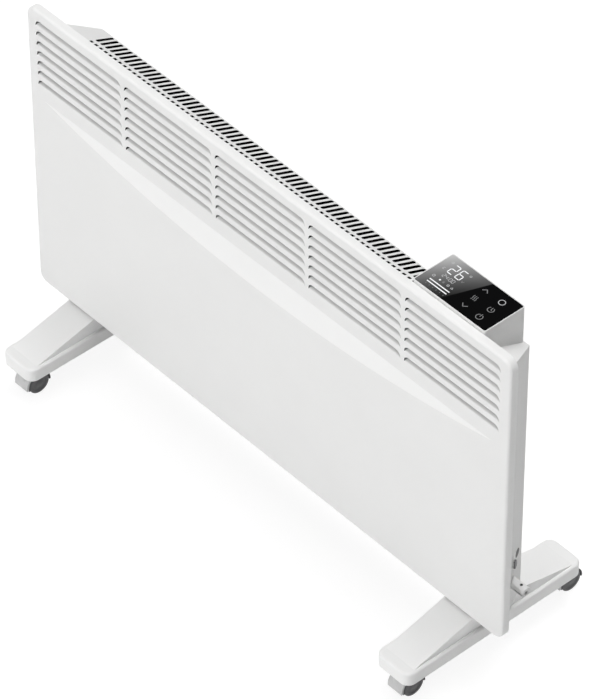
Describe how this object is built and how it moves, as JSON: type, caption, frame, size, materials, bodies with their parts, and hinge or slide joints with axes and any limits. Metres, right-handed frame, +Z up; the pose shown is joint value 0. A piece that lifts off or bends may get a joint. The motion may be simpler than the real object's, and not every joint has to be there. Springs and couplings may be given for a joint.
{
  "type": "wall panel convector heater",
  "caption": "White wall panel convector heater with a louvred crowned front, sloping outlet grille, raised black-glass touch control tower and plastic feet on hooded swivel castors",
  "frame": {"origin": "on the floor (z = 0, under the wheels), midway between the ends of the panel in X and midway between the front of the feet and the back of the rear castors in Y", "axes": "+X along the panel to the right as seen from the front (the control tower is at +X), -Y is the louvred front, +Z is up"},
  "size_m": [0.83, 0.2958, 0.5265],
  "materials": {
    "panel_paint": "white powder coat, semi-matt",
    "case_paint": "white powder coat, semi-matt",
    "zinc": "zinc plated steel",
    "galvanised": "galvanised sheet steel",
    "aluminium": "extruded aluminium",
    "heater_sheath": "heat-tinted steel sheath",
    "ceramic": "unglazed steatite",
    "brown_plastic": "phenolic body",
    "black_plastic": "black glass-filled nylon",
    "circuit_board": "green board with parts",
    "brass": "turned brass",
    "white_plastic": "white ABS, fine satin",
    "foot_plastic": "white polypropylene, satin",
    "wire_sleeve": "silicone rubber insulation",
    "black_glass": "black back-printed touch glass, polished",
    "grey_plastic": "light grey nylon",
    "wheel_plastic": "dark grey nylon"
  },
  "bodies": {
    "heater": {"front_panel": "panel_paint", "rear_case": "case_paint", "sensor_clip": "white_plastic", "cord_gland": "white_plastic", "control_tower": "white_plastic", "touch_glass": "black_glass", "foot_left": "foot_plastic", "foot_right": "foot_plastic", "case_screws": "zinc", "heat_shield": "galvanised", "element_fins": "aluminium", "element_rod": "heater_sheath", "element_insulators": "ceramic", "element_brackets": "galvanised", "thermal_cutout": "brown_plastic", "tip_switch": "black_plastic", "terminal_block": "ceramic", "power_board": "circuit_board", "board_standoffs": "brass", "temp_sensor": "black_plastic", "gland_nut": "white_plastic", "inner_wires": "wire_sleeve", "display_board": "circuit_board", "foot_screws": "zinc", "castor_sleeves": "black_plastic"},
    "swivel_fl": {"housing_fl": "black_plastic", "hood_fl": "grey_plastic", "stem_fl": "zinc", "axle_fl": "zinc"},
    "wheel_fl": {"wheels_fl": "wheel_plastic"},
    "swivel_fr": {"housing_fr": "black_plastic", "hood_fr": "grey_plastic", "stem_fr": "zinc", "axle_fr": "zinc"},
    "wheel_fr": {"wheels_fr": "wheel_plastic"},
    "swivel_bl": {"housing_bl": "black_plastic", "hood_bl": "grey_plastic", "stem_bl": "zinc", "axle_bl": "zinc"},
    "wheel_bl": {"wheels_bl": "wheel_plastic"},
    "swivel_br": {"housing_br": "black_plastic", "hood_br": "grey_plastic", "stem_br": "zinc", "axle_br": "zinc"},
    "wheel_br": {"wheels_br": "wheel_plastic"}
  },
  "joints": [
    {"name": "swivel_fl", "type": "hinge", "parent": "heater", "child": "swivel_fl", "pos_m": [-0.3395, -0.1342, 0.0417], "axis": [0, 0, 1], "continuous": true},
    {"name": "spin_fl", "type": "hinge", "parent": "swivel_fl", "child": "wheel_fl", "pos_m": [-0.3395, -0.1217, 0.015], "axis": [1, 0, 0], "continuous": true},
    {"name": "swivel_fr", "type": "hinge", "parent": "heater", "child": "swivel_fr", "pos_m": [0.3395, -0.1342, 0.0417], "axis": [0, 0, 1], "continuous": true},
    {"name": "spin_fr", "type": "hinge", "parent": "swivel_fr", "child": "wheel_fr", "pos_m": [0.3395, -0.1217, 0.015], "axis": [1, 0, 0], "continuous": true},
    {"name": "swivel_bl", "type": "hinge", "parent": "heater", "child": "swivel_bl", "pos_m": [-0.3395, 0.1183, 0.0417], "axis": [0, 0, 1], "continuous": true},
    {"name": "spin_bl", "type": "hinge", "parent": "swivel_bl", "child": "wheel_bl", "pos_m": [-0.3395, 0.1308, 0.015], "axis": [1, 0, 0], "continuous": true},
    {"name": "swivel_br", "type": "hinge", "parent": "heater", "child": "swivel_br", "pos_m": [0.3395, 0.1183, 0.0417], "axis": [0, 0, 1], "continuous": true},
    {"name": "spin_br", "type": "hinge", "parent": "swivel_br", "child": "wheel_br", "pos_m": [0.3395, 0.1308, 0.015], "axis": [1, 0, 0], "continuous": true}
  ]
}
